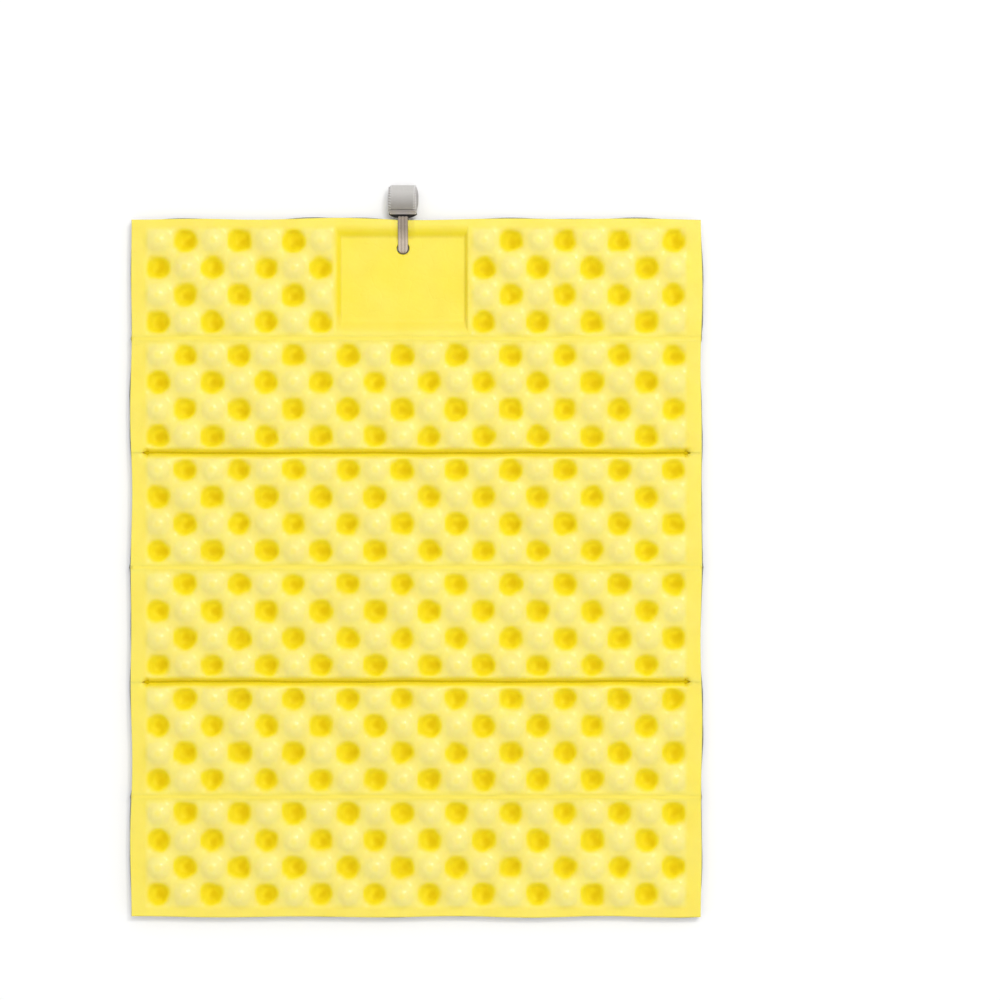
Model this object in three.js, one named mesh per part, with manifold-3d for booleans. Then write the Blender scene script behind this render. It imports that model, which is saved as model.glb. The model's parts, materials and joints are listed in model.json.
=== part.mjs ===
// Folding egg-crate foam sleeping pad, lying open with its yellow foam side up.
// Millimetres, +Z up. Width runs along X and length along Y, with the strap at the +Y end.
// The origin is the middle of the bottom face of the whole bounding box.
import * as THREE from 'three';
import { mergeVertices } from 'three/addons/utils/BufferGeometryUtils.js';
import Module from 'manifold-3d';

const wasm = await Module();
wasm.setup();

// The sheet
const CELL = 27.1; // pitch of the crests and pits, both ways
const COLUMNS = 20;
const ROWS = 4; // rows of cells in one panel
const PANELS = 6;
const SIDE_FLANGE = 14;
const END_FLANGE = 8.2;
const FOLD_MARGIN = 3; // flat strip on each side of a fold
const CREST = 6; // height of a crest, and depth of a pit, from the sheet's mean level
const FOAM_TOP = 14; // mean level of each face
const FOAM_BOTTOM = 6.8;
const FILM_TOP = 6.5;
const FILM_BOTTOM = 6;
const REST_FLAT = 1.8; // half side of the flat on which each silver bump rests
const GAP = 0.3; // between neighbouring pieces

// The folds
const AXIS_LIFT = 0.5; // fold axis above the foam's mean level, or below the film's
const WEB_THICKNESS = 0.4;
const WEB_WIDTH = 2.6;

// The label tray, which takes the place of some cells of the first panel
const TRAY_FIRST_COLUMN = 7;
const TRAY_LAST_COLUMN = 11;
const TRAY_DEPTH = 7;
const TRAY_UNDERSIDE_DROP = 4.2;
const HOLE_DIAMETER = 12;
const HOLE_FROM_EDGE = 29;

// The strap
const STRAP_WIDTH = 28;
const NECK_WIDTH = 10;
const NECK_THICKNESS = 1.2;
const SHOULDER_START = 4.1; // distances from the pad's edge
const ROLL_START = 7.3;
const ROLL_END = 32.6;
const ROLL_HEIGHT = 18.4;
const ROLL_FACETS = 8; // on each half round
const TAB_THICKNESS = 1.3;
const TAB_START = 10.4;
const SHOULDER_LEVEL = 10;

const WIDTH = COLUMNS * CELL + 2 * SIDE_FLANGE;
const LENGTH = PANELS * (ROWS * CELL + 2 * FOLD_MARGIN) + 2 * (END_FLANGE - FOLD_MARGIN);
const STRAP_REACH = ROLL_END + GAP + TAB_THICKNESS;
const EDGE = (LENGTH - STRAP_REACH) / 2; // the pad's +Y edge
const TRAY_COLUMN = (TRAY_FIRST_COLUMN + TRAY_LAST_COLUMN) / 2;
const TRAY_X = (TRAY_COLUMN + 0.5 - COLUMNS / 2) * CELL;

const foam = () => new THREE.MeshStandardMaterial({ color: 0xfce455, roughness: 0.85, metalness: 0 });
const film = () => new THREE.MeshStandardMaterial({ color: 0xd4d7da, roughness: 0.28, metalness: 0.9 });
const webbing = () => new THREE.MeshStandardMaterial({ color: 0xa8a49e, roughness: 0.9, metalness: 0 });
const hook = () => new THREE.MeshStandardMaterial({ color: 0x96918a, roughness: 0.8, metalness: 0 });

const pad = new THREE.Group();

function addPiece(name, geometry, material) {
  const piece = new THREE.Mesh(geometry, material);
  piece.name = name;
  pad.add(piece);
  return piece;
}

// Closed solids made from triangles, and cuts between them

function geometryOf(points) {
  const geometry = new THREE.BufferGeometry();
  geometry.setAttribute('position', new THREE.Float32BufferAttribute(points.flat(), 3));
  return mergeVertices(geometry, 1e-4);
}

function solidOf(geometry) {
  const bare = geometry.clone();
  bare.deleteAttribute('normal');
  bare.deleteAttribute('uv');
  const merged = mergeVertices(bare, 1e-4);
  return new wasm.Manifold(new wasm.Mesh({
    numProp: 3,
    vertProperties: new Float32Array(merged.attributes.position.array),
    triVerts: new Uint32Array(merged.index.array),
  }));
}

function geometryOfSolid(solid) {
  const mesh = solid.getMesh();
  const geometry = new THREE.BufferGeometry();
  geometry.setAttribute('position', new THREE.BufferAttribute(mesh.vertProperties, 3));
  geometry.setIndex(new THREE.BufferAttribute(mesh.triVerts, 1));
  return geometry;
}

function cut(geometry, cutters) {
  let solid = solidOf(geometry);
  for (const cutter of cutters) {
    solid = solid.subtract(solidOf(cutter));
  }
  return geometryOfSolid(solid);
}

// A shape drawn as (y, z) and extruded along X, centred on x
function extrudeAcross(shape, width, x) {
  const geometry = new THREE.ExtrudeGeometry(shape, { depth: width, bevelEnabled: false });
  const yzx = new THREE.Matrix4().makeBasis(
    new THREE.Vector3(0, 1, 0),
    new THREE.Vector3(0, 0, 1),
    new THREE.Vector3(1, 0, 0),
  );
  geometry.applyMatrix4(yzx);
  geometry.translate(x - width / 2, 0, 0);
  return geometry;
}

// One panel's place along the pad; panel 0 has the tray and the strap

function panelPlace(index) {
  const marginHigh = index === 0 ? END_FLANGE : FOLD_MARGIN;
  const marginLow = index === PANELS - 1 ? END_FLANGE : FOLD_MARGIN;
  const inner = ROWS * CELL + 2 * FOLD_MARGIN;
  const high = index === 0 ? EDGE : EDGE - (END_FLANGE - FOLD_MARGIN) - index * inner;
  const low = high - marginHigh - ROWS * CELL - marginLow;
  const firstRow = low + marginLow;
  return { index, high, low, firstRow };
}

function columnEdge(i) {
  return (i - COLUMNS / 2) * CELL;
}

// Grid lines of a panel: its outer edges, and the edges of its cells between them
function gridOf(place) {
  const highTrim = place.index === 0 ? 0 : GAP / 2;
  const lowTrim = place.index === PANELS - 1 ? 0 : GAP / 2;
  const xs = [-WIDTH / 2];
  for (let i = 0; i <= COLUMNS; i++) {
    xs.push(columnEdge(i));
  }
  xs.push(WIDTH / 2);
  const ys = [place.low + lowTrim];
  for (let j = 0; j <= ROWS; j++) {
    ys.push(place.firstRow + j * CELL);
  }
  ys.push(place.high - highTrim);
  return { xs, ys };
}

function isTrayCell(place, column) {
  return place.index === 0 && column >= TRAY_FIRST_COLUMN && column <= TRAY_LAST_COLUMN;
}

// Level of a face at grid node (i, j), which only the tray lowers
function nodeLevel(place, face, i, j) {
  const insideColumns = i > TRAY_FIRST_COLUMN + 1 && i < TRAY_LAST_COLUMN + 2;
  const insideRows = j > 1 && j < ROWS + 1;
  const inTray = place.index === 0 && insideColumns && insideRows;
  return inTray ? face.level - face.trayDrop : face.level;
}

// Triangles of one face, wound to be seen from above
function faceTriangles(place, grid, face) {
  const points = [];
  const node = (i, j) => [grid.xs[i], grid.ys[j], nodeLevel(place, face, i, j)];
  const addFan = (ring, centre) => {
    for (let n = 0; n < ring.length; n++) {
      points.push(ring[n], ring[(n + 1) % ring.length], centre);
    }
  };
  for (let i = 0; i + 1 < grid.xs.length; i++) {
    for (let j = 0; j + 1 < grid.ys.length; j++) {
      const ring = [node(i, j), node(i + 1, j), node(i + 1, j + 1), node(i, j + 1)];
      const column = i - 1;
      const rowFromHigh = ROWS - j;
      const isCell = column >= 0 && column < COLUMNS && rowFromHigh >= 0 && rowFromHigh < ROWS;
      if (!isCell) {
        points.push(ring[0], ring[1], ring[2], ring[0], ring[2], ring[3]);
        continue;
      }
      const x = (grid.xs[i] + grid.xs[i + 1]) / 2;
      const y = (grid.ys[j] + grid.ys[j + 1]) / 2;
      const isCrest = (column + rowFromHigh) % 2 === 0;
      if (isTrayCell(place, column)) {
        addFan(ring, [x, y, face.level - face.trayDrop]);
      } else if (isCrest || face.restFlat === 0) {
        addFan(ring, [x, y, face.level + (isCrest ? CREST : -CREST)]);
      } else {
        const flat = face.restFlat;
        const z = face.level - CREST;
        const inner = [
          [x - flat, y - flat, z],
          [x + flat, y - flat, z],
          [x + flat, y + flat, z],
          [x - flat, y + flat, z],
        ];
        for (let n = 0; n < 4; n++) {
          const m = (n + 1) % 4;
          points.push(ring[n], ring[m], inner[m], ring[n], inner[m], inner[n]);
        }
        points.push(inner[0], inner[1], inner[2], inner[0], inner[2], inner[3]);
      }
    }
  }
  return points;
}

// Grid nodes round the outside of a panel, anticlockwise from above
function outline(grid) {
  const lastI = grid.xs.length - 1;
  const lastJ = grid.ys.length - 1;
  const ring = [];
  for (let i = 0; i < lastI; i++) ring.push([i, 0]);
  for (let j = 0; j < lastJ; j++) ring.push([lastI, j]);
  for (let i = lastI; i > 0; i--) ring.push([i, lastJ]);
  for (let j = lastJ; j > 0; j--) ring.push([0, j]);
  return ring.map(([i, j]) => [grid.xs[i], grid.ys[j]]);
}

// A panel's layer between two egg-crate faces
function layer(place, topFace, bottomFace) {
  const grid = gridOf(place);
  const points = faceTriangles(place, grid, topFace);
  const under = faceTriangles(place, grid, bottomFace);
  for (let n = 0; n < under.length; n += 3) {
    points.push(under[n], under[n + 2], under[n + 1]);
  }
  const ring = outline(grid);
  for (let n = 0; n < ring.length; n++) {
    const [ax, ay] = ring[n];
    const [bx, by] = ring[(n + 1) % ring.length];
    const lowA = [ax, ay, bottomFace.level];
    const lowB = [bx, by, bottomFace.level];
    const highA = [ax, ay, topFace.level];
    const highB = [bx, by, topFace.level];
    points.push(lowA, lowB, highB, lowA, highB, highA);
  }
  return geometryOf(points);
}

const foamTop = { level: FOAM_TOP, trayDrop: TRAY_DEPTH, restFlat: 0 };
const foamBottom = { level: FOAM_BOTTOM, trayDrop: TRAY_UNDERSIDE_DROP, restFlat: 0 };
const filmTop = { level: FILM_TOP, trayDrop: TRAY_UNDERSIDE_DROP, restFlat: 0 };
const filmBottom = { level: FILM_BOTTOM, trayDrop: TRAY_UNDERSIDE_DROP, restFlat: REST_FLAT };

// The strap's neck: a flat loop through the punched hole and round the pad's edge.
// Its path is given as (distance out from the edge, height), along the middle of the band.
const neckTop = [
  [-HOLE_FROM_EDGE, 8.1],
  [-22, 8.1],
  [-9, 13],
  [2, 13],
];
const neckUnder = [
  [2, 4.2],
  [-8, 4],
  [-19, 0.8],
  [-HOLE_FROM_EDGE, 0.8],
];

// The path moved sideways by half the band's thickness, with mitred corners
function offsetRing(path, offset) {
  const vectors = path.map(([y, z]) => new THREE.Vector2(y, z));
  return vectors.map((corner, n) => {
    const before = vectors[(n + vectors.length - 1) % vectors.length];
    const after = vectors[(n + 1) % vectors.length];
    const into = corner.clone().sub(before).normalize();
    const away = after.clone().sub(corner).normalize();
    const normal = new THREE.Vector2(-into.y - away.y, into.x + away.x).normalize();
    const stretch = 1 / Math.max(0.5, normal.dot(new THREE.Vector2(-into.y, into.x)));
    return corner.clone().addScaledVector(normal, offset * stretch);
  });
}

function neckLoop() {
  const path = [...neckTop, ...neckUnder].map(([out, z]) => [EDGE + out, z]);
  const shape = new THREE.Shape(offsetRing(path, NECK_THICKNESS / 2).reverse());
  shape.holes.push(new THREE.Path(offsetRing(path, -NECK_THICKNESS / 2)));
  return extrudeAcross(shape, NECK_WIDTH, TRAY_X);
}

// The dent that the neck presses into the foam as it goes over the edge
function neckChannel() {
  const depth = NECK_THICKNESS / 2 + GAP + 0.1;
  const reach = 10;
  const bed = neckTop.map(([out, z]) => new THREE.Vector2(EDGE + out, z - depth));
  const last = bed[bed.length - 1];
  const above = 2 * FOAM_TOP;
  const shape = new THREE.Shape([
    new THREE.Vector2(bed[0].x, above),
    ...bed,
    new THREE.Vector2(last.x + reach, last.y),
    new THREE.Vector2(last.x + reach, above),
  ]);
  return extrudeAcross(shape, NECK_WIDTH + 2 * GAP, TRAY_X);
}

function strapHole() {
  const hole = new THREE.CylinderGeometry(HOLE_DIAMETER / 2, HOLE_DIAMETER / 2, 40, 24);
  hole.rotateX(Math.PI / 2);
  hole.translate(TRAY_X, EDGE - HOLE_FROM_EDGE, FOAM_TOP);
  return hole;
}

for (let n = 0; n < PANELS; n++) {
  const place = panelPlace(n);
  let foamLayer = layer(place, foamTop, foamBottom);
  let filmLayer = layer(place, filmTop, filmBottom);
  if (n === 0) {
    foamLayer = cut(foamLayer, [strapHole(), neckChannel()]);
    filmLayer = cut(filmLayer, [strapHole()]);
  }
  addPiece(`foam_panel_${n + 1}`, foamLayer, foam());
  addPiece(`film_panel_${n + 1}`, filmLayer, film());
}

// Fold webs: the pressed strips on which the panels turn. The foam sides close on folds
// 1, 3 and 5, and the film sides on folds 2 and 4.
for (let n = 0; n < PANELS - 1; n++) {
  const foamSide = n % 2 === 0;
  const level = foamSide ? FOAM_TOP + AXIS_LIFT : FILM_BOTTOM - AXIS_LIFT;
  const web = new THREE.BoxGeometry(WIDTH, WEB_WIDTH, WEB_THICKNESS);
  web.translate(0, panelPlace(n).low + WEB_WIDTH / 2, level);
  addPiece(`fold_web_${n + 1}`, web, foamSide ? foam() : film());
}

addPiece('strap_neck_loop', neckLoop(), webbing());

// The strap widens at its shoulder, then is rolled up flat beside the pad
function shoulder() {
  const start = EDGE + SHOULDER_START;
  const end = EDGE + ROLL_START - GAP;
  const shape = new THREE.Shape([
    new THREE.Vector2(-NECK_WIDTH / 2, start),
    new THREE.Vector2(NECK_WIDTH / 2, start),
    new THREE.Vector2(STRAP_WIDTH / 2, end),
    new THREE.Vector2(-STRAP_WIDTH / 2, end),
  ]);
  const plate = new THREE.ExtrudeGeometry(shape, { depth: NECK_THICKNESS, bevelEnabled: false });
  plate.translate(TRAY_X, 0, SHOULDER_LEVEL - NECK_THICKNESS / 2);
  return plate;
}

const ROLL_RADIUS = ROLL_HEIGHT / 2;
const ROLL_NEAR = EDGE + ROLL_START + ROLL_RADIUS;
const ROLL_FAR = EDGE + ROLL_END - ROLL_RADIUS;

// Points on a half round of the roll, from one angle to another, in degrees from +Y
function rollArc(centre, radius, from, to, steps) {
  return Array.from({ length: steps + 1 }, (_, n) => {
    const angle = THREE.MathUtils.degToRad(from + ((to - from) * n) / steps);
    return new THREE.Vector2(
      centre + radius * Math.cos(angle),
      ROLL_RADIUS + radius * Math.sin(angle),
    );
  });
}

function roll() {
  const far = rollArc(ROLL_FAR, ROLL_RADIUS, -90, 90, ROLL_FACETS);
  const near = rollArc(ROLL_NEAR, ROLL_RADIUS, 90, 270, ROLL_FACETS);
  return extrudeAcross(new THREE.Shape([...far, ...near]), STRAP_WIDTH, TRAY_X);
}

// The hook tab closes the roll: it lies on the outer turn, from the near shoulder of the
// roll over its flat top to the middle of its far end
function hookTab() {
  const inner = ROLL_RADIUS + GAP;
  const outer = inner + TAB_THICKNESS;
  const startCosine = (EDGE + TAB_START - ROLL_NEAR) / outer;
  const start = THREE.MathUtils.radToDeg(Math.acos(startCosine));
  const band = [
    ...rollArc(ROLL_FAR, outer, 0, 90, ROLL_FACETS / 2),
    ...rollArc(ROLL_NEAR, outer, 90, start, ROLL_FACETS / 4),
    ...rollArc(ROLL_NEAR, inner, start, 90, ROLL_FACETS / 4),
    ...rollArc(ROLL_FAR, inner, 90, 0, ROLL_FACETS / 2),
  ];
  return extrudeAcross(new THREE.Shape(band), STRAP_WIDTH, TRAY_X);
}

addPiece('strap_shoulder', shoulder(), webbing());
addPiece('strap_roll', roll(), webbing());
addPiece('strap_hook_tab', hookTab(), hook());

export default pad;
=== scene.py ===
# Folding egg-crate foam sleeping pad: its looks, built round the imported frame.
# Lengths inside this script are millimetres, and metres() turns them into the frame's metres.
# Fold numbers follow the joints: odd folds close the yellow faces, even folds the silver ones.

import json
import math

import bpy
import numpy as np
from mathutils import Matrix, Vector


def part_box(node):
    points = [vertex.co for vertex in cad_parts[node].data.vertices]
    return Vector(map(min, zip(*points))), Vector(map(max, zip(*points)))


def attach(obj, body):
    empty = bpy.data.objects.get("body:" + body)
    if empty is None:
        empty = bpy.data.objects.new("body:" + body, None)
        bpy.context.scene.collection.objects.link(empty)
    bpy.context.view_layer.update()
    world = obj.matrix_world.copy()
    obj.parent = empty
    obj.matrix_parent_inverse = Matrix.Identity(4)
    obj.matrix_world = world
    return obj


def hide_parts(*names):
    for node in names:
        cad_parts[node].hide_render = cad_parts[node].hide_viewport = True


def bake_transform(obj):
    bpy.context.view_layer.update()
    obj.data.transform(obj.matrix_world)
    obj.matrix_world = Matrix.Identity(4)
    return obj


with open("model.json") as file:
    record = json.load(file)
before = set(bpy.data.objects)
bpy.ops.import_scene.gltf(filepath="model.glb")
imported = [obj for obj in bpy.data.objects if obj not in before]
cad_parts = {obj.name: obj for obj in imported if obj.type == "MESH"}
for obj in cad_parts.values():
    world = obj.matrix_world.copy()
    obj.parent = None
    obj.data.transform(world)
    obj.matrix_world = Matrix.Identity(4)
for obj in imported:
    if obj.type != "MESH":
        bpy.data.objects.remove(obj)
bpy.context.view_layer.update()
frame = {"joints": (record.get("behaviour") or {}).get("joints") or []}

# The moulded sheet
CELL = 27.1
COLUMNS = 20
ROWS = 4
PANELS = 6
FOLD_MARGIN = 3.0
SHEET_LEVEL = 10.0
CREST = 6.8
# From the sheet's middle to a face: on the flats, a crest's walls, a pit's walls, and their caps.
# A pit's wall on the under side can't be thicker, or the silver bumps meet when the pad is folded.
UPPER_SKIN = (4.0, 3.4, 2.3, 3.2)
UNDER_SKIN = (3.4, 2.2, 2.2, 2.8)
SAMPLES = 14  # mesh steps across one cell
WAVE_SHARE = 4.0  # of a cell's height that is a plain wave; the rest is a round cap
CREST_CAP = (2.0, 13.0)  # a round cap's flat and foot radii
PIT_CAP = (4.5, 13.6)
FILM_THICKNESS = 0.28
REST_LEVEL = 0.34  # the foam's lowest points, pressed flat by its own weight
WAVE = 0.45  # how far the fold lines stray from straight
BALL_RINGS = (0.3, 0.55, 0.75, 0.9)  # where rolled() samples its ball, as shares of its radius
BALL_STEPS = 12  # samples round each of those rings
SIDE_RINGS = 3  # rings of points between a sheet's two rims
SIDE_BULGE = 0.7
SLOPE_TONE = 0.78  # tone_of() where a crest meets a pit
KEYHOLE_RADIUS = 2.3

# The label tray and the strap's hole
TRAY_COLUMN = 9.5
TRAY_HALF_WIDTH = 62.0
TRAY_FLOOR = 7.0
TRAY_UNDERSIDE = 1.9
TRAY_TOP_WALL = (5.5, 17.7)  # distances from the pad's end
TRAY_LOW_WALL = (100.5, 115.0)
TRAY_SIDE_WALL = 3.6
TRAY_CELLS = 2.5 * CELL  # no cells this near the tray's middle
HOLE_RADIUS = 6.3
HOLE_FROM_EDGE = 29.0

# The strap
STRAP_WIDTH = 28.0
STRAP_THICKNESS = 0.78
NECK_WIDTH = 10.0
LAYER_PITCH = 0.9
TELESCOPE = 1.5  # how far the inner turns stick out sideways
SHOULDER_THICKNESS = 0.95
TAB_THICKNESS = 1.1
NECK_THICKNESS = 1.15


def metres(values):
    return np.asarray(values, float) * 0.001


def node_box(name):
    low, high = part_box(name)
    return np.array(low) * 1000, np.array(high) * 1000


HALF_WIDTH = node_box("foam_panel_1")[1][0]
EDGE = node_box("foam_panel_1")[1][1]
FAR_EDGE = node_box("foam_panel_6")[0][1]
FOLD_Y = [joint["pos_m"][1] * 1000 for joint in frame["joints"][: PANELS - 1]]
TRAY_X = (TRAY_COLUMN - COLUMNS / 2) * CELL
CELLS_HALF = COLUMNS / 2 * CELL


def smooth(low, high, value):
    t = np.clip((value - low) / (high - low), 0, 1)
    return t * t * (3 - 2 * t)


def ripple(x, y, length, seed):
    """Smooth irregularity between -1 and 1, the same every run."""
    k = 2 * math.pi / length
    a = np.sin(k * x + 1.7 * seed + 1.3 * np.sin(k * 0.7 * y + seed))
    b = np.sin(k * 0.83 * y + 2.9 * seed + 1.1 * np.sin(k * 0.6 * x + 2 * seed))
    return (a + b) / 2


# ---------------------------------------------------------------- materials


def new_material(name):
    material = bpy.data.materials.new(name)
    material.use_nodes = True
    nodes = material.node_tree.nodes
    shader = nodes["Principled BSDF"]
    return material, nodes, material.node_tree.links, shader


def noise(nodes, links, vector, scale, detail=3.0, roughness=0.5):
    node = nodes.new("ShaderNodeTexNoise")
    node.inputs["Scale"].default_value = scale
    node.inputs["Detail"].default_value = detail
    node.inputs["Roughness"].default_value = roughness
    links.new(vector, node.inputs["Vector"])
    return node.outputs["Fac"]


def ramp(nodes, links, value, stops):
    node = nodes.new("ShaderNodeValToRGB")
    elements = node.color_ramp.elements
    while len(elements) < len(stops):
        elements.new(0.5)
    for element, (position, colour) in zip(elements, stops):
        element.position = position
        element.color = (*colour, 1)
    links.new(value, node.inputs["Fac"])
    return node.outputs["Color"]


def spread_of(nodes, links, value, low, high):
    node = nodes.new("ShaderNodeMapRange")
    node.inputs["To Min"].default_value = low
    node.inputs["To Max"].default_value = high
    links.new(value, node.inputs["Value"])
    return node.outputs["Result"]


def multiplied(nodes, links, factor, first, second):
    node = nodes.new("ShaderNodeMix")
    node.data_type = "RGBA"
    node.blend_type = "MULTIPLY"
    node.inputs["Factor"].default_value = factor
    links.new(first, node.inputs["A"])
    links.new(second, node.inputs["B"])
    return node.outputs["Result"]


def bump(nodes, links, height, strength, distance, under=None):
    node = nodes.new("ShaderNodeBump")
    node.inputs["Strength"].default_value = strength
    node.inputs["Distance"].default_value = distance
    links.new(height, node.inputs["Height"])
    if under is not None:
        links.new(under, node.inputs["Normal"])
    return node.outputs["Normal"]


def crease_lines(nodes, links, place, scale, width):
    """1 on smooth skin, 0 along a warped net of fine creases."""
    crease = nodes.new("ShaderNodeTexVoronoi")
    crease.feature = "DISTANCE_TO_EDGE"
    crease.inputs["Scale"].default_value = scale
    shifted = nodes.new("ShaderNodeVectorMath")
    shifted.operation = "MULTIPLY_ADD"
    shifted.inputs[1].default_value = (0.03, 0.03, 0.03)
    links.new(noise(nodes, links, place, scale * 0.6, 3), shifted.inputs[0])
    links.new(place, shifted.inputs[2])
    links.new(shifted.outputs["Vector"], crease.inputs["Vector"])
    return ramp(nodes, links, crease.outputs["Distance"], [
        (0.0, (0.0, 0.0, 0.0)),
        (width, (1.0, 1.0, 1.0)),
    ])


def foam_material(name, depth, deepest):
    """Closed-cell foam skin, coloured from the height attribute: deeper yellow in the pits as
    painted shade, paler on the crests as painted light.
    """
    material, nodes, links, shader = new_material(name)
    place = nodes.new("ShaderNodeTexCoord").outputs["Object"]
    height = nodes.new("ShaderNodeAttribute")
    height.attribute_name = "height"
    # Painted light and shade: the low stops are painted shade for the pits' floors, the high stops
    # painted light for the crests.
    tone = ramp(nodes, links, height.outputs["Fac"], [
        (0.0, deepest),
        (0.14, (0.90, 0.715, 0.006)),
        (0.28, (0.95, 0.785, 0.022)),
        (0.45, (0.955, 0.79, 0.085)),
        (0.60, (0.955, 0.80, 0.135)),
        (0.85, (0.965, 0.83, 0.195)),
        (1.0, (0.97, 0.84, 0.240)),
    ])
    mottle = ramp(nodes, links, noise(nodes, links, place, 38, 4), [
        (0.25, (0.94, 0.93, 0.86)),
        (0.75, (1.0, 1.0, 1.0)),
    ])
    links.new(multiplied(nodes, links, 1.0, tone, mottle), shader.inputs["Base Color"])
    blotch = noise(nodes, links, place, 90, 2)
    links.new(spread_of(nodes, links, blotch, 0.38, 0.56), shader.inputs["Roughness"])
    creases = crease_lines(nodes, links, place, 46, 0.05)
    pores = noise(nodes, links, place, 1600, 2, 0.7)
    skin = noise(nodes, links, place, 260, 3)
    soft = bump(nodes, links, skin, 0.25, 0.0006, bump(nodes, links, creases, 0.13, 0.0005))
    links.new(bump(nodes, links, pores, 0.35, 0.00025, soft), shader.inputs["Normal"])
    shine = spread_of(nodes, links, height.outputs["Fac"], 0.02, 0.6)
    links.new(shine, shader.inputs["Specular IOR Level"])
    coat = spread_of(nodes, links, height.outputs["Fac"], -0.2, 0.26)
    links.new(coat, shader.inputs["Coat Weight"])
    shader.inputs["Coat Roughness"].default_value = 0.12
    shader.inputs["Subsurface Weight"].default_value = depth
    shader.inputs["Subsurface Radius"].default_value = (1.0, 0.8, 0.12)
    shader.inputs["Subsurface Scale"].default_value = 0.006
    shader.inputs["Sheen Weight"].default_value = 0.12
    shader.inputs["Sheen Roughness"].default_value = 0.4
    return material


def film_material():
    """Aluminised film: bright metal, darker in its hollows as painted shade, with blue-grey patches
    and creases whose darker lines are painted shade.
    """
    material, nodes, links, shader = new_material("silver_film")
    place = nodes.new("ShaderNodeTexCoord").outputs["Object"]
    height = nodes.new("ShaderNodeAttribute")
    height.attribute_name = "height"
    # Painted shade: low values, where the film stands high in its hollows, are darker blue-grey.
    tone = ramp(nodes, links, height.outputs["Fac"], [
        (0.0, (0.40, 0.43, 0.49)),
        (0.25, (0.72, 0.735, 0.76)),
        (0.6, (0.80, 0.81, 0.83)),
        (1.0, (0.92, 0.925, 0.93)),
    ])
    cloud = noise(nodes, links, place, 48, 2)
    patches = ramp(nodes, links, cloud, [
        (0.36, (0.56, 0.59, 0.65)),
        (0.5, (0.88, 0.89, 0.91)),
        (0.60, (1.0, 1.0, 1.0)),
    ])
    creases = crease_lines(nodes, links, place, 58, 0.05)
    # Painted shade: the film's colour is darkened along the fine creases.
    crease_shade = ramp(nodes, links, creases, [(0.0, (0.90, 0.91, 0.92)), (1.0, (1.0, 1.0, 1.0))])
    painted_shade_mix = multiplied(nodes, links, 1.0, tone, patches)
    links.new(multiplied(nodes, links, 0.8, painted_shade_mix, crease_shade), shader.inputs["Base Color"])
    shader.inputs["Metallic"].default_value = 0.95
    links.new(spread_of(nodes, links, cloud, 0.19, 0.36), shader.inputs["Roughness"])
    wrinkles = bump(nodes, links, creases, 0.2, 0.0006)
    crumple = noise(nodes, links, place, 95, 3, 0.55)
    links.new(bump(nodes, links, crumple, 0.55, 0.0022, wrinkles), shader.inputs["Normal"])
    return material


def film_edge_material():
    """The film's trimmed edge, dull grey."""
    material, nodes, links, shader = new_material("film_edge")
    place = nodes.new("ShaderNodeTexCoord").outputs["Object"]
    tone = ramp(nodes, links, noise(nodes, links, place, 80, 3), [
        (0.3, (0.16, 0.165, 0.14)),
        (0.7, (0.34, 0.35, 0.30)),
    ])
    links.new(tone, shader.inputs["Base Color"])
    shader.inputs["Metallic"].default_value = 0.3
    shader.inputs["Roughness"].default_value = 0.5
    return material


EDGE_THREADS = 2.3  # wave number of the pale threads along a strap's edges


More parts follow.
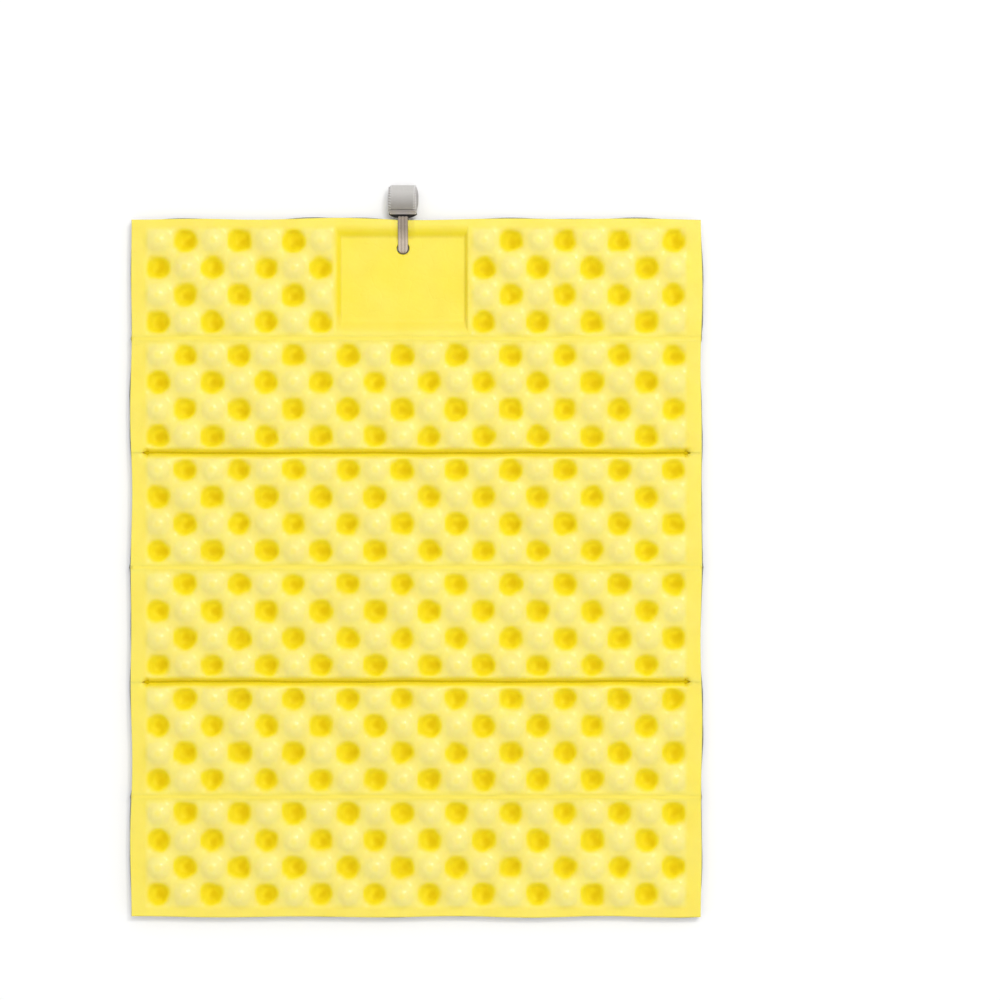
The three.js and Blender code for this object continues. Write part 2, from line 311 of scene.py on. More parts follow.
def webbing_material(
    name, colour, pale, along, across, rib=0.0, selvedge=0.0, painted_shade_span=None, sheen=0.35,
):
    """Woven polyester: fine ribs along the strap and weft threads across it.

    along and across are the threads' wave numbers, and rib that of moulded ribs, whose tone is
    painted shade: lighter on the ribs, darker between them. selvedge is the half width where the
    pale edge threads start. fade is the two lengths along the strap between which painted shade
    makes it darker.
    """
    material, nodes, links, shader = new_material(name)
    place = nodes.new("ShaderNodeAttribute")
    place.attribute_name = "strap"
    lines = nodes.new("ShaderNodeSeparateXYZ")
    links.new(place.outputs["Vector"], lines.inputs["Vector"])

    def threads(value, scale, start=0.0):
        times = nodes.new("ShaderNodeMath")
        times.operation = "MULTIPLY_ADD"
        times.inputs[1].default_value = scale
        times.inputs[2].default_value = start
        links.new(value, times.inputs[0])
        wave = nodes.new("ShaderNodeMath")
        wave.operation = "SINE"
        links.new(times.outputs["Value"], wave.inputs[0])
        return wave.outputs["Value"]

    weave = nodes.new("ShaderNodeMath")
    weave.operation = "MULTIPLY"
    links.new(threads(lines.outputs["X"], across), weave.inputs[0])
    links.new(threads(lines.outputs["Y"], along), weave.inputs[1])
    fuzz = noise(nodes, links, place.outputs["Vector"], 0.9, 4, 0.7)
    height = nodes.new("ShaderNodeMath")
    height.operation = "MULTIPLY_ADD"
    height.inputs[1].default_value = 0.5
    links.new(weave.outputs["Value"], height.inputs[0])
    links.new(fuzz, height.inputs[2])
    shade = height.outputs["Value"]
    # Painted shade: the tone follows the moulded ribs, lighter on their tops and darker in the
    # grooves between them.
    if rib:
        ribs = nodes.new("ShaderNodeMath")
        ribs.operation = "MULTIPLY_ADD"
        ribs.inputs[1].default_value = 0.28
        links.new(threads(lines.outputs["X"], rib, math.pi / 2), ribs.inputs[0])
        links.new(shade, ribs.inputs[2])
        shade = ribs.outputs["Value"]
    tone = ramp(nodes, links, shade, [(0.1, colour), (0.9, pale)])
    # Painted shade: the strap darkens between the two lengths along it.
    if painted_shade_span:
        painted_shade_mix = nodes.new("ShaderNodeMapRange")
        painted_shade_mix.inputs["From Min"].default_value, painted_shade_mix.inputs["From Max"].default_value = painted_shade_span
        links.new(lines.outputs["Y"], painted_shade_mix.inputs["Value"])
        darker = ramp(nodes, links, painted_shade_mix.outputs["Result"], [
            (0.0, (1.0, 1.0, 1.0)),
            (1.0, (0.60, 0.585, 0.57)),
        ])
        tone = multiplied(nodes, links, 1.0, tone, darker)
    if selvedge:
        away = nodes.new("ShaderNodeMath")
        away.operation = "ABSOLUTE"
        links.new(lines.outputs["X"], away.inputs[0])
        edge = nodes.new("ShaderNodeMath")
        edge.operation = "GREATER_THAN"
        edge.inputs[1].default_value = selvedge
        links.new(away.outputs["Value"], edge.inputs[0])
        stitches = nodes.new("ShaderNodeMath")
        stitches.operation = "MULTIPLY"
        links.new(edge.outputs["Value"], stitches.inputs[0])
        dashes = threads(lines.outputs["Y"], EDGE_THREADS)
        links.new(spread_of(nodes, links, dashes, 0.0, 0.95), stitches.inputs[1])
        pick = nodes.new("ShaderNodeMix")
        pick.data_type = "RGBA"
        links.new(stitches.outputs["Value"], pick.inputs["Factor"])
        links.new(tone, pick.inputs["A"])
        pick.inputs["B"].default_value = (0.92, 0.92, 0.91, 1)
        tone = pick.outputs["Result"]
    links.new(tone, shader.inputs["Base Color"])
    links.new(bump(nodes, links, height.outputs["Value"], 0.5, 0.00035), shader.inputs["Normal"])
    links.new(spread_of(nodes, links, fuzz, 0.75, 0.95), shader.inputs["Roughness"])
    shader.inputs["Sheen Weight"].default_value = sheen
    shader.inputs["Sheen Roughness"].default_value = 0.5
    return material


def floor_material():
    material, nodes, links, shader = new_material("pale_floor")
    place = nodes.new("ShaderNodeTexCoord").outputs["Object"]
    tone = ramp(nodes, links, noise(nodes, links, place, 3, 2), [
        (0.0, (0.965, 0.965, 0.965)),
        (1.0, (0.985, 0.985, 0.985)),
    ])
    links.new(tone, shader.inputs["Base Color"])
    shader.inputs["Roughness"].default_value = 0.9
    return material


# The last colour given is the pits' floor, darkened as painted shade.
FOAM = foam_material("yellow_foam", 0.34, (0.76, 0.55, 0.003))
# Its darkest colour is painted shade, for the bottom of the even folds' deep grooves.
PRESSED_FOAM_GROOVE_SHADE = foam_material("pressed_foam_groove_shade", 0.0, (0.60, 0.47, 0.003))
FILM = film_material()
FILM_EDGE = film_edge_material()
STRAP = webbing_material(
    "grey_webbing", (0.35, 0.315, 0.295), (0.59, 0.545, 0.52), 5.2, 4.6, selvedge=12.3,
)
# A real strap layer coloured near black: painted shadow under the strap's shoulder.
SHADOW_HEM = webbing_material(
    "shadow_hem", (0.004, 0.003, 0.003), (0.014, 0.011, 0.010), 5.2, 4.6, sheen=0.05,
)
# Painted shade: darker between the neck's ribs, and darker from 13 to 27 mm along the loop, towards
# and round the pad's edge.
NECK = webbing_material(
    "grey_band", (0.34, 0.275, 0.215), (0.68, 0.575, 0.47), 4.2, 6.0, rib=1.885, painted_shade_span=(13, 27),
)
# Painted shade: the hook tab darkens from 14 to 27 mm along it, on its side by the pad, which faces
# away from the key light.
HOOK = webbing_material(
    "grey_hook_tab", (0.46, 0.44, 0.415), (0.68, 0.66, 0.63), 7.0, 7.0,
    selvedge=11.2, painted_shade_span=(14, 27),
)


# ---------------------------------------------------------------- mesh tools


def object_from(name, points, faces, materials, face_material=None):
    mesh = bpy.data.meshes.new(name)
    mesh.from_pydata(metres(points).tolist(), [], faces)
    mesh.polygons.foreach_set("use_smooth", [True] * len(mesh.polygons))
    for material in materials:
        mesh.materials.append(material)
    if face_material is not None:
        mesh.polygons.foreach_set("material_index", face_material)
    mesh.update()
    made = bpy.data.objects.new(name, mesh)
    bpy.context.scene.collection.objects.link(made)
    return made


def add_values(piece, name, values):
    mesh = piece.data
    if values.ndim == 1:
        attribute = mesh.attributes.new(name, "FLOAT", "POINT")
        attribute.data.foreach_set("value", values.astype(np.float32))
    else:
        attribute = mesh.attributes.new(name, "FLOAT_VECTOR", "POINT")
        attribute.data.foreach_set("vector", values.astype(np.float32).ravel())


def grid_faces(nx, ny, first, flip):
    i, j = np.meshgrid(np.arange(nx - 1), np.arange(ny - 1), indexing="ij")
    a = (first + i * ny + j).ravel()
    quads = np.stack([a, a + ny, a + ny + 1, a + 1], axis=1)
    return (quads[:, ::-1] if flip else quads).tolist()


def perimeter(nx, ny):
    """Grid indices round the outside, anticlockwise from above."""
    ring = [(i, 0) for i in range(nx - 1)] + [(nx - 1, j) for j in range(ny - 1)]
    ring += [(i, ny - 1) for i in range(nx - 1, 0, -1)] + [(0, j) for j in range(ny - 1, 0, -1)]
    return np.array([i * ny + j for i, j in ring])


def shell(name, top, bottom, sides, materials):
    """A closed skin between two grids of points, with rings of side points between their rims."""
    nx, ny = top.shape[:2]
    count = nx * ny
    ring = perimeter(nx, ny)
    points = [top.reshape(-1, 3), bottom.reshape(-1, 3), *sides]
    faces = grid_faces(nx, ny, 0, False) + grid_faces(nx, ny, count, True)
    starts = [2 * count + n * len(ring) for n in range(len(sides))]
    rings = [ring, *[start + np.arange(len(ring)) for start in starts], ring + count]
    for high, low in zip(rings, rings[1:]):
        after_high, after_low = np.roll(high, -1), np.roll(low, -1)
        faces += np.stack([low, after_low, after_high, high], axis=1).tolist()
    return object_from(name, np.concatenate(points), faces, materials)


# ---------------------------------------------------------------- the sheet


def fold_wave(fold, x):
    """How far a fold line strays along Y at x."""
    return WAVE * (np.sin(x / 31 + 1.9 * fold) * 0.6 + np.sin(x / 11.5 + 2.3 * fold) * 0.4)


def panel_ends(panel):
    """(high y, low y) of a panel's nominal ends; panel 0 is the one with the strap."""
    high = EDGE if panel == 0 else FOLD_Y[panel - 1]
    low = FAR_EDGE if panel == PANELS - 1 else FOLD_Y[panel]
    return high, low


def cells_top(panel):
    """y of the upper edge of a panel's first row of cells."""
    high, low = panel_ends(panel)
    if panel == PANELS - 1:
        return high - FOLD_MARGIN
    return low + FOLD_MARGIN + ROWS * CELL


def grid_lines(panel):
    high, low = panel_ends(panel)
    first = cells_top(panel)
    last = first - ROWS * CELL
    inner = np.linspace(-CELLS_HALF, CELLS_HALF, COLUMNS * SAMPLES + 1)
    rim = HALF_WIDTH - CELLS_HALF
    side = CELLS_HALF + rim * np.array([0.25, 0.5, 0.7, 0.85, 0.95, 1.0])
    xs = np.concatenate([-side[::-1], inner, side])
    if panel == 0:
        walls = TRAY_HALF_WIDTH + np.array([0.0, 0.8, 1.6, 2.4, 3.2, 4.0])
        near_strap = np.linspace(-14, 14, 29)
        xs = spaced(xs, np.concatenate([TRAY_X - walls, TRAY_X + walls, TRAY_X + near_strap]))
    steps = np.array([1.0, 0.86, 0.66, 0.4, 0.2])
    ys = np.concatenate([
        last - (last - low) * steps,
        np.linspace(last, first, ROWS * SAMPLES + 1),
        first + (high - first) * steps[::-1],
    ])
    if panel == 0:
        ys = spaced(ys, EDGE - np.linspace(TRAY_TOP_WALL[0], TRAY_TOP_WALL[1], 9))
    return xs, ys


def spaced(lines, extra):
    """Grid lines with extra ones among them, without the old ones too close to those."""
    inner = [v for v in lines[1:-1] if np.min(np.abs(extra - v)) > 0.45]
    return np.array(sorted({lines[0], lines[-1], *inner, *extra}))


def tray_depth(x, y, spread=0.0):
    """0 outside the label tray, 1 on its floor, with moulded walls between."""
    from_end = EDGE - y
    across = TRAY_HALF_WIDTH + spread - np.abs(x - TRAY_X)
    wall = np.where(x < TRAY_X, 1.8, 1.0) * TRAY_SIDE_WALL
    sides = np.clip(1 + across / wall, 0, 1) ** 1.7
    upper = (from_end + spread - TRAY_TOP_WALL[0]) / (TRAY_TOP_WALL[1] - TRAY_TOP_WALL[0])
    upper = np.clip(upper, 0, 1) ** 2
    lower = 1 - smooth(TRAY_LOW_WALL[0] + spread, TRAY_LOW_WALL[1] + spread, from_end)
    return np.minimum(np.minimum(sides, upper), lower)


def cell_of(panel, x, y):
    """(wave, distance to the cell's middle, inside): wave is above 0 on crests, below 0 in pits."""
    u = (x + CELLS_HALF + 0.6 * ripple(x, y, 150, panel)) / CELL
    v = (cells_top(panel) - y + 0.5 * ripple(y, x, 130, panel + 3)) / CELL
    inside = (u > 0) & (u < COLUMNS) & (v > 0) & (v < ROWS)
    if panel == 0:
        inside &= np.abs(x - TRAY_X) > TRAY_CELLS
    wave = np.where(inside, np.sin(math.pi * u) * np.sin(math.pi * v), 0)
    distance = CELL * np.hypot(u - np.floor(u) - 0.5, v - np.floor(v) - 0.5)
    distance = distance + 0.75 * ripple(x, y, 17, panel + 2) + 0.3 * ripple(x, y, 8, panel)
    uneven = 1 + 0.03 * np.sin(12.9 * np.floor(u) + 78.2 * np.floor(v) + 5.1 * panel)
    distance = distance / (1 + 1.4 * (uneven - 1))
    return wave * uneven, distance, inside


def crate(panel, x, y):
    """Height of the sheet's middle above its mean level, from the cells alone."""
    wave, distance, inside = cell_of(panel, x, y)
    shape = np.where(wave > 0, 1 - smooth(*CREST_CAP, distance), smooth(*PIT_CAP, distance) - 1)
    cap = (CREST - WAVE_SHARE) * shape * inside
    return WAVE_SHARE * wave + cap * smooth(0, 0.2, np.abs(wave))


def skin_at(panel, x, y, side):
    """The sheet's thickness from its middle to one face: full on flats, pressed thin on walls."""
    flat, crest_wall, pit_wall, cap = UPPER_SKIN if side > 0 else UNDER_SKIN
    wave = cell_of(panel, x, y)[0]
    wall = np.where(wave > 0, crest_wall, pit_wall)
    wave = np.abs(wave)
    return flat + (wall - flat) * smooth(0, 0.5, wave) + (cap - wall) * smooth(0.6, 1, wave)


def rolled(panel, x, y, side):
    """The face that a ball as thick as the sheet leaves when it rolls along the middle surface."""
    best = side * crate(panel, x, y) + skin_at(panel, x, y, side)
    for ring, share in enumerate(BALL_RINGS):
        for step in range(BALL_STEPS):
            turn = 2 * math.pi / BALL_STEPS * (step + 0.5 * (ring % 2))
            reach = share * UPPER_SKIN[3]
            px, py = x + reach * math.cos(turn), y + reach * math.sin(turn)
            lift = np.sqrt(np.clip(skin_at(panel, px, py, side) ** 2 - reach ** 2, 0, None))
            best = np.maximum(best, side * crate(panel, px, py) + lift)
    return SHEET_LEVEL + side * best


def tone_of(panel, x, y):
    """Colour value: 0 on a pit's floor, 0.5 on plain flats, 1 on crests; the pits' darkness is
    painted shade and the crests' paleness painted light.
    """
    wave, distance, inside = cell_of(panel, x, y)
    # Painted shade: each pit's darkest core is set off towards +x, where its wall faces away from
    # the key light, and its rim ring is shifted the other way.
    core = cell_of(panel, x - 2.2, y + 0.8)[1] + 1.5 * ripple(x, y, 11, panel + 4)
    rim = cell_of(panel, x + 1.1, y)[1] + 1.2 * ripple(x, y, 21, panel + 6)
    pit = 0.24 * smooth(0.5, 12.5, core) + 0.54 * smooth(8.8, 16.0, rim)
    pit = SLOPE_TONE + (pit - SLOPE_TONE) * smooth(0, 0.12, -wave)
    # Painted light on the crests, less on a small spot at each crest's top.
    crest = SLOPE_TONE + 0.22 * smooth(0.05, 0.5, wave) - 0.22 * (1 - smooth(1.5, 4.0, distance))
    tone = np.where(wave < 0, pit, crest)
    first = cells_top(panel)
    margin = np.minimum(CELLS_HALF - np.abs(x), np.minimum(first - y, y - first + ROWS * CELL))
    if panel == 0:
        margin = np.minimum(margin, np.abs(x - TRAY_X) - TRAY_CELLS)
    flat = 0.55 + 0.03 * ripple(x, y, 60, panel)
    # Painted shade: the flats darken along the deep grooves of the even folds.
    for fold in (panel, panel + 1):
        if fold % 2 == 0 and 1 <= fold < PANELS:
            across = smooth(CELLS_HALF + 2, CELLS_HALF - 2, np.abs(x))
            flat = flat - 0.3 * pinch(np.abs(y - FOLD_Y[fold - 1]), 11) * across
    if panel == 0:
        # Painted shade: the label tray a little darker, its upper and side walls much darker; its
        # lower wall, which faces the key light, not.
        sunk = tray_depth(x, y)
        steep = 1 - smooth(94, TRAY_LOW_WALL[0], EDGE - y)
        flat = flat - 0.1 * sunk - 0.7 * sunk * (1 - sunk) * steep
    return flat + (tone - flat) * smooth(-0.5, 4.0, margin) * inside


def pinch(distance, width):
    """1 at a fold line, falling to 0 at width from it."""
    return np.clip(1 - distance / width, 0, 1) ** 1.7


def fold_dips(panel, x, y):
    """How far the folds press (the upper, the under) face of a panel in."""
    upper, under = np.zeros_like(x), np.zeros_like(x)
    across = smooth(CELLS_HALF + 2.5, CELLS_HALF - 0.5, np.abs(x))
    for fold in (panel, panel + 1):
        if not 1 <= fold < PANELS:
            continue
        distance = np.abs(y - FOLD_Y[fold - 1])
        deep = 6.6 * pinch(distance, 6.0)
        shallow = 0.7 * pinch(distance, 2.2)
        if fold % 2:
            upper += shallow
            under += deep
        else:
            upper += deep * across
            under += shallow
    return upper, under


def strap_dent(x, y):
    """The dent that the strap's neck presses into the end of the first panel."""
    width = 1 - smooth(5.4, 13, np.abs(x - TRAY_X))
    reach = smooth(EDGE - 24, EDGE - 12, y)
    return 2.4 * width * reach


def panel_faces(panel):
    """(upper grid, under grid, colour values) of one panel's sheet."""
    xs, ys = grid_lines(panel)
    x, y = np.meshgrid(xs, ys, indexing="ij")
    high, low = rolled(panel, x, y, 1), rolled(panel, x, y, -1)
    dip_upper, dip_under = fold_dips(panel, x, y)
    high -= dip_upper
    low += dip_under
    if panel == 0:
        high += (TRAY_FLOOR - high) * tray_depth(x, y)
        low += (TRAY_UNDERSIDE - low) * tray_depth(x, y, spread=3.0)
        high -= strap_dent(x, y)
    upper, under = np.stack([x, y, high], axis=-1), np.stack([x, y, low], axis=-1)
    for face in (upper, under):
        face[..., 2] += 0.12 * ripple(x, y, 34, panel + 1)
        keep_ends(panel, face, x, y)
    under[..., 2] = np.maximum(under[..., 2], REST_LEVEL)
    return upper, under, tone_of(panel, x, y)


def keep_ends(panel, face, x, y):
    """Lays a face's rim on the panel's real outline: wavy folds, and a cut outer edge."""
    high, low = panel_ends(panel)
    for end, fold, sign in ((high, panel, 1), (low, panel + 1, -1)):
        near = smooth(7, 0, np.abs(y - end))
        if 1 <= fold < PANELS:
            groove = 0.0 if fold % 2 else 0.65 * smooth(CELLS_HALF, CELLS_HALF - 3, np.abs(x))
            retreat = groove + keyhole(fold, x)
            shift = fold_wave(fold, x) - sign * retreat
        else:
            shift = 1.3 * ripple(x, y * 0, 150, panel + 2) - 0.6
        face[..., 1] += near * shift
        face[..., 1] = np.where(y == end, end + shift, face[..., 1])
    near = smooth(9, 0, HALF_WIDTH - np.abs(x))
    face[..., 0] += near * np.sign(x) * (1.1 * ripple(y, np.sign(x) * 50, 140, 5) - 0.6)


def keyhole(fold, x):
    """The small round widening at each end of the deep grooves."""
    if fold % 2:
        return np.zeros_like(x)
    offset = np.abs(x) - (CELLS_HALF - 1.0)
    return np.sqrt(np.clip(KEYHOLE_RADIUS ** 2 - offset ** 2, 0, None)) * 0.8


def side_rings(panel, upper, under):
    """Rings of points down a panel's side, bulging out a little where the side is an outer one."""
    nx, ny = upper.shape[:2]
    ring = perimeter(nx, ny)
    high, low = upper.reshape(-1, 3)[ring], under.reshape(-1, 3)[ring]
    i, j = ring // ny, ring % ny
    out = np.zeros_like(high)
    out[i == 0, 0] = -1
    out[i == nx - 1, 0] = 1
    if panel == 0:
        out[j == ny - 1, 1] = 1
    if panel == PANELS - 1:
        out[j == 0, 1] = -1
    rings = []
    for n in range(1, SIDE_RINGS + 1):
        share = n / (SIDE_RINGS + 1)
        swell = SIDE_BULGE * (4 * share * (1 - share)) ** 0.5
        rings.append(high + (low - high) * share + out * swell)
    return rings


def cut_hole(piece):
    """Punches the strap's round hole through a piece."""
    bpy.ops.mesh.primitive_cylinder_add(
        vertices=40, radius=HOLE_RADIUS * 0.001, depth=0.04,
        location=metres((TRAY_X, EDGE - HOLE_FROM_EDGE, SHEET_LEVEL)),
    )
    punch = bpy.context.object
    cut = piece.modifiers.new("hole", "BOOLEAN")
    cut.operation = "DIFFERENCE"
    cut.solver = "EXACT"
    cut.object = punch
    bpy.context.view_layer.objects.active = piece
    bpy.ops.object.modifier_apply(modifier=cut.name)
    bpy.data.objects.remove(punch)


def make_panel(panel):
    body = f"panel_{panel + 1}"
    upper, under, value = panel_faces(panel)
    rings = side_rings(panel, upper, under)
    foam = shell(f"foam_sheet_{panel + 1}", upper, under, rings, [FOAM])
    ring = perimeter(*upper.shape[:2])
    rim_value = value.reshape(-1)[ring]
    values = [value.ravel(), value.ravel()] + [rim_value] * len(rings)
    # The height attribute holds tone_of() values, with their painted light and shade, rather than a
    # height.
    add_values(foam, "height", np.concatenate(values))
    film = make_film(panel, under)
    if panel == 0:
        cut_hole(foam)
        cut_hole(film)
    for piece, node, finish in (
        (foam, f"foam_panel_{panel + 1}", "foam"),
        (film, f"film_panel_{panel + 1}", "silver_film"),
    ):
        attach(piece, body)
        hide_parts(node)


def make_film(panel, under):
    """The film on a panel's underside, lightly wrinkled, with its trimmed edge just showing."""
    x, y = under[..., 0], under[..., 1]
    wrinkle = 0.16 * np.abs(ripple(x, y, 9.5, panel + 11))
    wrinkle = wrinkle + 0.1 * np.abs(ripple(y, x, 5.3, panel + 7))
    inner = under.copy()
    inner[..., 2] -= 0.03
    outer = under.copy()
    outer[..., 2] = np.maximum(outer[..., 2] - FILM_THICKNESS - wrinkle, 0.02)
    for face in (inner, outer):
        side = smooth(3, 0, HALF_WIDTH - np.abs(x))
        face[..., 0] += side * np.sign(x) * (1.9 + 0.6 * ripple(y, x * 0, 60, 9))
        if panel == 0:
            face[..., 1] += smooth(EDGE - 3, EDGE, y) * (2.0 + 0.7 * ripple(x, y * 0, 67, 4))
        if panel == PANELS - 1:
            reach = 1.8 + 0.7 * ripple(x, y * 0, 71, 6)
            face[..., 1] -= smooth(FAR_EDGE + 3, FAR_EDGE, y) * reach
    film = shell(f"film_skin_{panel + 1}", inner, outer, [], [FILM, FILM_EDGE])
    # Higher film, in the hollows, gets lower values and so a darker colour: painted shade.
    bulge = np.clip(1 - outer[..., 2] / 8.5, 0, 1).ravel()
    add_values(film, "height", np.concatenate([bulge, bulge]))
    nx, ny = x.shape
    quads = (nx - 1) * (ny - 1)
    index = np.zeros(len(film.data.polygons), int)
    index[2 * quads :] = 1
    rim = np.zeros((nx - 1, ny - 1), bool)
    rim[:2] = rim[-2:] = True
    if panel == 0:
        rim[:, -2:] = True
    if panel == PANELS - 1:
        rim[:, :2] = True
    index[:quads][rim.ravel()] = 1
    film.data.polygons.foreach_set("material_index", index)
    return film


for number in range(PANELS):
    make_panel(number)


# ---------------------------------------------------------------- fold webs

# Across a web: the distance from the fold line, and the face's height
WEB_PROFILE = [
    (-2.7, -0.35), (-1.8, -0.05), (-0.8, -0.08), (0.0, -0.28),
    (0.8, -0.08), (1.8, -0.05), (2.7, -0.35),
]
WEB_DEPTH = 0.75


def make_web(fold):
    """The pressed strip that two panels turn on, foam above and film below."""
    odd = fold % 2 == 1
    xs = np.linspace(-HALF_WIDTH + 0.6, HALF_WIDTH - 0.6, 240)
    reach = np.array([p[0] for p in WEB_PROFILE])
    crown = np.array([p[1] for p in WEB_PROFILE])
    x, offset = np.meshgrid(xs, reach, indexing="ij")
    y = FOLD_Y[fold - 1] + fold_wave(fold, x) + offset
    face = np.broadcast_to(crown, x.shape) + 0.08 * ripple(x, offset, 17, fold)
    if odd:
        high = SHEET_LEVEL + UPPER_SKIN[0] - 0.02 + face
        low = high - WEB_DEPTH
    else:
        low = SHEET_LEVEL - UNDER_SKIN[0] - 0.1 - face
        high = low + WEB_DEPTH
    top, bottom = np.stack([x, y, high], axis=-1), np.stack([x, y, low], axis=-1)
    web = shell(f"fold_line_{fold}", top, bottom, [], [PRESSED_FOAM_GROOVE_SHADE, FILM])
    quads = (x.shape[0] - 1) * (x.shape[1] - 1)
    index = np.zeros(len(web.data.polygons), int)
    index[quads : 2 * quads] = 1
    web.data.polygons.foreach_set("material_index", index)
    # Even webs take 0, the darkest stop, as painted shade at the bottom of the deep grooves; odd
    # webs take the plain flats' 0.5.
    add_values(web, "height", np.full(len(web.data.vertices), 0.5 if odd else 0.0))
    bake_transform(web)
    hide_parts(f"fold_web_{fold}")


for number in range(1, PANELS):
    make_web(number)


# ---------------------------------------------------------------- strap


def rounded_path(corners, radius, steps, closed):
    """A polyline's corners rounded by arcs like curves, in the (out, z) plane."""
    corners = [np.array(c, float) for c in corners]
    points = []
    count = len(corners)
    for n, corner in enumerate(corners):
        if not closed and n in (0, count - 1):
            points.append(corner)
            continue
        before, after = corners[n - 1], corners[(n + 1) % count]
        into, away = before - corner, after - corner
        reach = min(radius, np.linalg.norm(into) * 0.48, np.linalg.norm(away) * 0.48)
        start = corner + into / np.linalg.norm(into) * reach
        stop = corner + away / np.linalg.norm(away) * reach
        for k in range(steps + 1):
            t = k / steps
            points.append(start * (1 - t) ** 2 + corner * 2 * t * (1 - t) + stop * t * t)
    return np.array(points)


def resampled(line, step, closed):
    """The path again, with even steps."""
    if closed:
        line = np.concatenate([line, line[:1]])
    along = np.concatenate([[0], np.cumsum(np.linalg.norm(np.diff(line, axis=0), axis=1))])
    count = max(8, int(along[-1] / step))
    at = np.linspace(0, along[-1], count + 1)
    if closed:
        at = at[:-1]
    return np.stack([np.interp(at, along, line[:, k]) for k in range(line.shape[1])], axis=1), at


def ribbon(
    name, path, widths, shifts, thickness, material,
    closed=False, ribs=0, columns=22, round_at=None,
):
    """A band whose middle follows (y, z) points; its section has rounded edges and optional ribs.

    widths and sideways shifts are spread evenly along it. Where round_at is given, the part with a
    lower y than that narrows in a half circle.
    """
    line, along = resampled(path, 0.8, closed)
    count = len(line)
    span = np.linspace(0, 1, count)
    width = np.interp(span, np.linspace(0, 1, len(widths)), widths)
    shift = np.interp(span, np.linspace(0, 1, len(shifts)), shifts)
    if round_at is not None:
        past = np.clip(round_at - line[:, 0], 0, 4.9)
        width = np.minimum(width, 2 * np.sqrt((NECK_WIDTH / 2) ** 2 - past ** 2))
    if closed:
        ahead, behind = np.roll(line, -1, axis=0), np.roll(line, 1, axis=0)
    else:
        ahead = np.concatenate([line[1:], line[-1:]])
        behind = np.concatenate([line[:1], line[:-1]])
    tangent = ahead - behind
    tangent /= np.linalg.norm(tangent, axis=1, keepdims=True)
    normal = np.stack([-tangent[:, 1], tangent[:, 0]], axis=1)
    share = np.linspace(-1, 1, columns)
    edge = np.clip((1 - np.abs(share)) / 0.07, 0, 1) ** 0.5
    swell = edge * (1 + 0.3 * (np.cos(share * math.pi * ribs) if ribs else 0 * share))
    around = np.concatenate([share, share[::-1][1:-1]])
    offset = np.concatenate([swell, -swell[::-1][1:-1]]) * thickness / 2
    x = TRAY_X + shift[:, None] + around[None, :] * width[:, None] / 2
    y = line[:, 0][:, None] + normal[:, 0][:, None] * offset[None, :]
    z = line[:, 1][:, None] + normal[:, 1][:, None] * offset[None, :]
    points = np.stack([x, y, z], axis=-1)
    ring = len(around)
    faces = []
    for i in range(count if closed else count - 1):
        a, b = i * ring, ((i + 1) % count) * ring
        faces += [[a + k, b + k, b + (k + 1) % ring, a + (k + 1) % ring] for k in range(ring)]
    if not closed:
        faces.append(list(range(ring)))
        faces.append([(count - 1) * ring + k for k in reversed(range(ring))])
    piece = object_from(name, points.reshape(-1, 3), faces, [material])
    strap = np.stack([
        np.broadcast_to(around[None, :] * width[:, None] / 2, x.shape),
        np.broadcast_to(along[:, None], x.shape),
        np.broadcast_to(offset[None, :], x.shape),
    ], axis=-1)
    add_values(piece, "strap", strap.reshape(-1, 3))
    return piece


def finish_strap_piece(piece, body, node):
    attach(piece, body)
    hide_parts(node)


def make_neck():
    """The ribbed loop through the hole and round the pad's edge."""
    tip = EDGE - HOLE_FROM_EDGE - 4.2
    corners = [
        (tip, 7.6), (EDGE - 21, 7.9), (EDGE - 8.5, 12.9), (EDGE + 1.9, 13.0),
        (EDGE + 1.9, 4.2), (EDGE - 8, 4.0), (EDGE - 19, 0.85), (tip, 0.85),
    ]
    path = rounded_path(corners, 2.6, 8, closed=True)
    neck = ribbon(
        "strap_neck", path, [NECK_WIDTH, NECK_WIDTH], [0, 0], NECK_THICKNESS, NECK,
        closed=True, ribs=3, columns=34, round_at=EDGE - HOLE_FROM_EDGE,
    )
    finish_strap_piece(neck, "panel_1", "strap_neck_loop")


ROLL_LOW, ROLL_HIGH = node_box("strap_roll")
ROLL_RADIUS = (ROLL_HIGH[2] - ROLL_LOW[2]) / 2
NEAR_CENTRE = ROLL_LOW[1] + ROLL_RADIUS
FAR_CENTRE = ROLL_HIGH[1] - ROLL_RADIUS
ROLL_LEVEL = ROLL_LOW[2] + ROLL_RADIUS


def turn_point(angle, radius):
    """A point on the oval roll: angle 180 is nearest the pad, 90 is on top, in degrees."""
    a = math.radians(angle)
    middle_y = (NEAR_CENTRE + FAR_CENTRE) / 2
    half = (FAR_CENTRE - NEAR_CENTRE) / 2
    return middle_y + (half + radius) * math.cos(a), ROLL_LEVEL + radius * math.sin(a)


def half_spiral(start_angle):
    """One of the two wound layers, from the outside to the core, clockwise seen from +X."""
    outer = ROLL_RADIUS - STRAP_THICKNESS / 2
    points = []
    degrees_in = int((outer - 0.4) / LAYER_PITCH * 180)
    for step in range(0, degrees_in, 5):
        points.append(turn_point(start_angle - step, outer - LAYER_PITCH * step / 180))
    return points


def make_roll():
    """The strap wound flat on itself from its middle, so that both its ends lie outside."""
    inward = half_spiral(180)
    outward = half_spiral(0)[::-1]
    path = np.array(inward + outward)
    roll = ribbon(
        "strap_rolled", path, [STRAP_WIDTH, STRAP_WIDTH], [-0.5, TELESCOPE, -0.5],
        STRAP_THICKNESS, STRAP, columns=24,
    )
    finish_strap_piece(roll, "strap", "strap_roll")


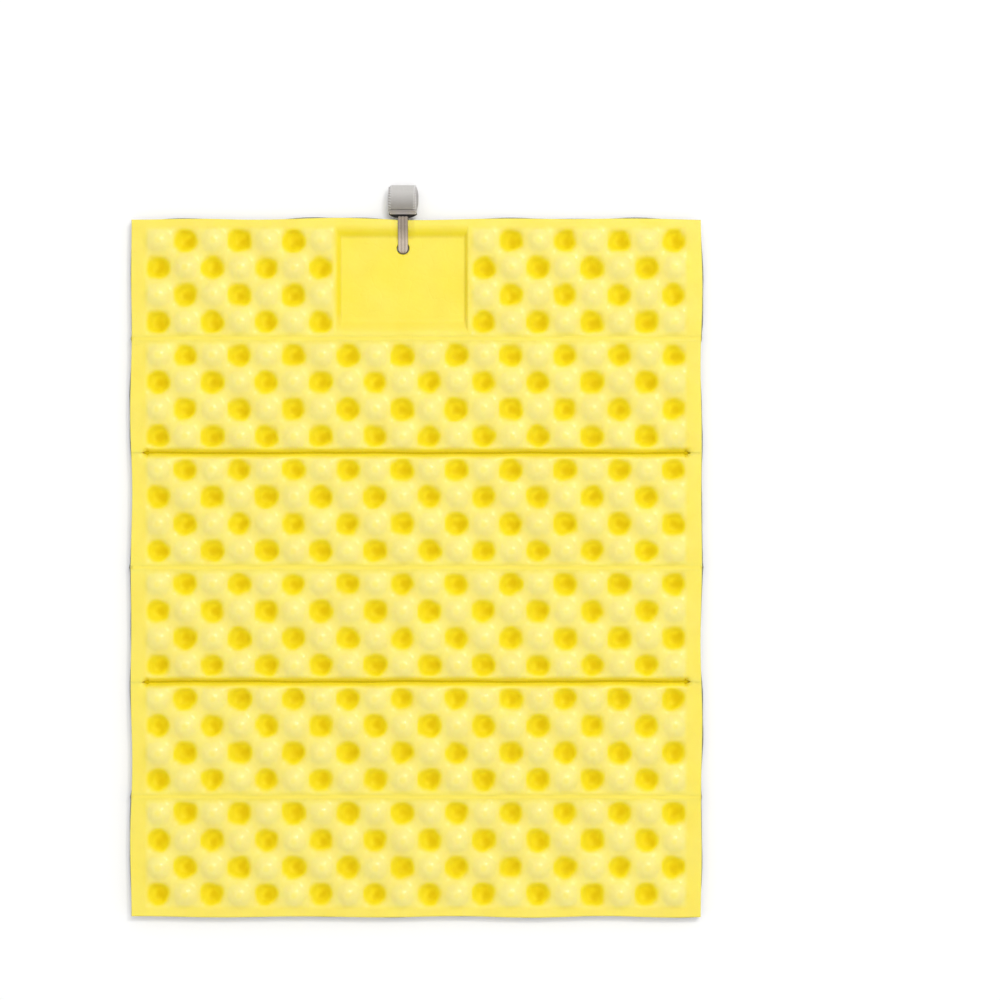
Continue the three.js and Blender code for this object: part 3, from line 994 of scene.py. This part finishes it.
def make_shoulder():
    """The folded hem that spreads from the neck, coloured near black as a painted shadow, and the
    strap running up onto the roll.
    """
    climb = [turn_point(angle, ROLL_RADIUS + 0.52) for angle in (168, 160, 152)]
    spread = rounded_path([(EDGE + 4.8, 9.7), (EDGE + 5.8, 10.1), *climb], 1.4, 5, closed=False)
    wide = STRAP_WIDTH - 0.4
    # The hem's near-black colour is a painted shadow.
    hem = np.array([(EDGE + 1.4, 8.4), (EDGE + 3.4, 8.4), (EDGE + 5.8, 8.6)])
    for name, material, path, widths in (
        ("strap_spread", STRAP, spread, [wide - 1.2, wide, wide, STRAP_WIDTH]),
        ("strap_shadow_hem", SHADOW_HEM, hem, [NECK_WIDTH + 5, STRAP_WIDTH - 5, STRAP_WIDTH, STRAP_WIDTH]),
    ):
        shoulder = ribbon(name, path, widths, [0, 0], SHOULDER_THICKNESS, material)
        finish_strap_piece(shoulder, "strap", "strap_shoulder")


def make_tab():
    """The hook tab over the top of the roll, with its end edge near the pad."""
    radius = ROLL_RADIUS + 0.75
    path = np.array([turn_point(angle, radius) for angle in range(-8, 148, 4)])
    tab = ribbon(
        "strap_tab", path,
        [STRAP_WIDTH - 2.4, STRAP_WIDTH - 3.0, STRAP_WIDTH - 3.6, STRAP_WIDTH - 3.6],
        [0.3, -0.9], TAB_THICKNESS, HOOK, columns=26,
    )
    finish_strap_piece(tab, "strap", "strap_hook_tab")


make_neck()
make_roll()
make_shoulder()
make_tab()


# ---------------------------------------------------------------- stage


def make_floor():
    bpy.ops.mesh.primitive_plane_add(size=30, location=(0, 0, -0.0003))
    floor = bpy.context.object
    floor.name = "floor"
    floor.data.materials.append(floor_material())


def area_light(name, place, size, power):
    """A rectangular light aimed at the origin."""
    data = bpy.data.lights.new(name, "AREA")
    data.shape = "RECTANGLE"
    data.size, data.size_y = size
    data.energy = power
    light = bpy.data.objects.new(name, data)
    bpy.context.scene.collection.objects.link(light)
    light.location = place
    light.rotation_mode = "QUATERNION"
    light.rotation_quaternion = (-Vector(place)).to_track_quat("-Z", "Y")


def make_lights():
    world = bpy.data.worlds.new("studio")
    bpy.context.scene.world = world
    world.use_nodes = True
    background = world.node_tree.nodes["Background"]
    nodes, links = world.node_tree.nodes, world.node_tree.links
    split = nodes.new("ShaderNodeSeparateXYZ")
    links.new(nodes.new("ShaderNodeTexCoord").outputs["Generated"], split.inputs["Vector"])
    height = spread_of(nodes, links, split.outputs["Z"], 0.5, 1.0)
    sky = ramp(nodes, links, height, [
        (0.0, (0.30, 0.31, 0.33)),
        (0.5, (0.42, 0.43, 0.45)),
        (0.72, (0.80, 0.80, 0.81)),
        (1.0, (1.0, 1.0, 1.0)),
    ])
    links.new(sky, background.inputs["Color"])
    background.inputs["Strength"].default_value = 0.885
    area_light("key", (1.1, 2.0, 4.8), (1.8, 1.4), 70)
    area_light("glint", (2.0, 2.2, 4.6), (0.2, 0.2), 36)


CAMERA_HEIGHT = 2.2
FRAME_WIDTH = 1.0  # metres across the picture, at the sheet's level
SENSOR = 36.0
VIEW_CENTRE = (83.5, EDGE - 281.0)  # the picture's middle


def make_camera():
    data = bpy.data.cameras.new("camera")
    data.sensor_width = SENSOR
    data.lens = SENSOR * CAMERA_HEIGHT / FRAME_WIDTH
    camera = bpy.data.objects.new("camera", data)
    bpy.context.scene.collection.objects.link(camera)
    camera.location = (*metres(VIEW_CENTRE), CAMERA_HEIGHT + SHEET_LEVEL * 0.001)
    bpy.context.scene.camera = camera


make_floor()
make_lights()
make_camera()
bpy.context.scene.view_settings.view_transform = "Standard"
